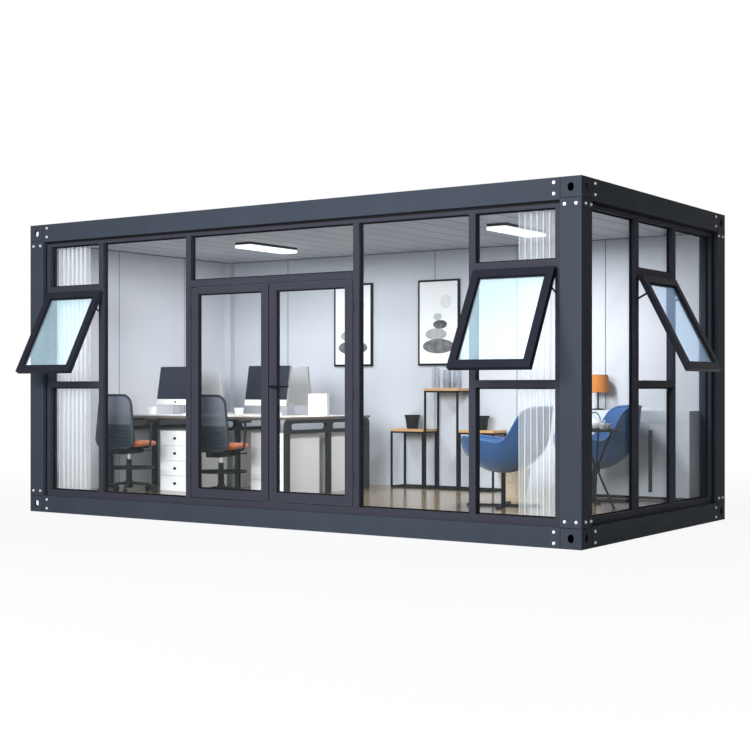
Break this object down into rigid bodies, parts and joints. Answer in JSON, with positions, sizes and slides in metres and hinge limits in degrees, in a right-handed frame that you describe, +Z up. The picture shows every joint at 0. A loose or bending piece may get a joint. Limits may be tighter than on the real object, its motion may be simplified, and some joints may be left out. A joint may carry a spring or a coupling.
{
  "type": "container office cabin",
  "caption": "Flat-pack container office cabin with a glazed front and end, a double door that opens outwards, top-hung sashes fixed open, and desks, chairs and shelves inside.",
  "frame": {"origin": "on the ground, at the centre of the rectangle between the four base casting holes", "axes": "+X along the cabin's length towards the glazed end, +Y towards the closed back wall, +Z up"},
  "size_m": [6.3577, 3.4077, 2.8],
  "materials": {
    "steel_paint": "satin powder coat, dark slate grey",
    "frame_paint": "satin powder-coated aluminium",
    "sash_paint": "satin powder coat, near black",
    "galvanised": "zinc-coated sheet",
    "clear_glass": "clear",
    "sash_glass": "pale blue tint",
    "wall_panel": "matt coated sandwich panel",
    "ceiling_panel": "matt planks",
    "floor_tile": "polished tile",
    "light_body": "satin",
    "black_metal": "satin",
    "desk_metal": "satin",
    "white_lacquer": "satin",
    "oak": "light oak veneer",
    "desk_wood": "oiled veneer",
    "screen": "gloss",
    "sheer_cloth": "sheer voile",
    "orange_cloth": "woven upholstery",
    "mesh_back": "mesh and moulded frame",
    "blue_cloth": "felt upholstery",
    "black_plastic": "matt",
    "picture": "black frame, pale print",
    "lamp_shade": "linen",
    "glazed_white": "glazed",
    "stone_pot": "rough"
  },
  "bodies": {
    "cabin": {"base_beams": "steel_paint", "roof_beams": "steel_paint", "corner_posts": "steel_paint", "base_castings": "steel_paint", "roof_castings": "steel_paint", "floor_joists": "galvanised", "floor_deck": "floor_tile", "roof_purlins": "galvanised", "roof_deck": "galvanised", "ceiling": "ceiling_panel", "back_wall_panels": "wall_panel", "left_wall_panels": "wall_panel", "corner_liner": "wall_panel", "front_rails": "frame_paint", "front_mullions": "frame_paint", "front_panes": "clear_glass", "end_rails": "frame_paint", "end_mullions": "frame_paint", "end_panes": "clear_glass", "sash_frames": "sash_paint", "sash_panes": "sash_glass", "sash_stays": "black_metal", "door_frame_hinges": "frame_paint", "ceiling_lights": "light_body", "curtain_rails": "white_lacquer", "curtain_left": "sheer_cloth", "curtain_right": "sheer_cloth", "desk_tops": "desk_wood", "desk_frames": "desk_metal", "pedestals": "white_lacquer", "monitors": "screen", "desk_planters": "glazed_white", "chair_bases": "black_plastic", "console_frames": "black_metal", "console_tops": "oak", "pictures": "picture", "lounge_shells": "blue_cloth", "lounge_bases": "black_metal", "side_table": "black_metal", "table_lamp": "lamp_shade", "planter_cabinet": "white_lacquer", "floor_pot": "stone_pot"},
    "door_left": {"door_leaf_left": "frame_paint", "door_pane_left": "clear_glass", "door_hinges_left": "frame_paint"},
    "door_right": {"door_leaf_right": "frame_paint", "door_pane_right": "clear_glass", "door_hinges_right": "frame_paint"},
    "door_lever": {"door_lever": "black_metal"},
    "chair_left": {"chair_seat_left": "orange_cloth", "chair_back_left": "mesh_back"},
    "chair_right": {"chair_seat_right": "orange_cloth", "chair_back_right": "mesh_back"}
  },
  "joints": [
    {"name": "door_left_hinge", "type": "hinge", "parent": "cabin", "child": "door_left", "pos_m": [-0.923, -1.4678, 1.17], "axis": [0, 0, -1], "range_deg": [0, 90]},
    {"name": "door_right_hinge", "type": "hinge", "parent": "cabin", "child": "door_right", "pos_m": [0.867, -1.4678, 1.17], "axis": [0, 0, 1], "range_deg": [0, 90]},
    {"name": "lever_turn", "type": "hinge", "parent": "door_right", "child": "door_lever", "pos_m": [0.017, -1.435, 1.222], "axis": [0, 1, 0], "range_deg": [0, 40], "stiffness_Nm_per_rad": 1.5, "springref_deg": -28.65},
    {"name": "chair_left_swivel", "type": "hinge", "parent": "cabin", "child": "chair_left", "pos_m": [-2.18, -0.95, 0.6], "axis": [0, 0, 1], "continuous": true},
    {"name": "chair_right_swivel", "type": "hinge", "parent": "cabin", "child": "chair_right", "pos_m": [-1, -0.95, 0.6], "axis": [0, 0, 1], "continuous": true}
  ]
}
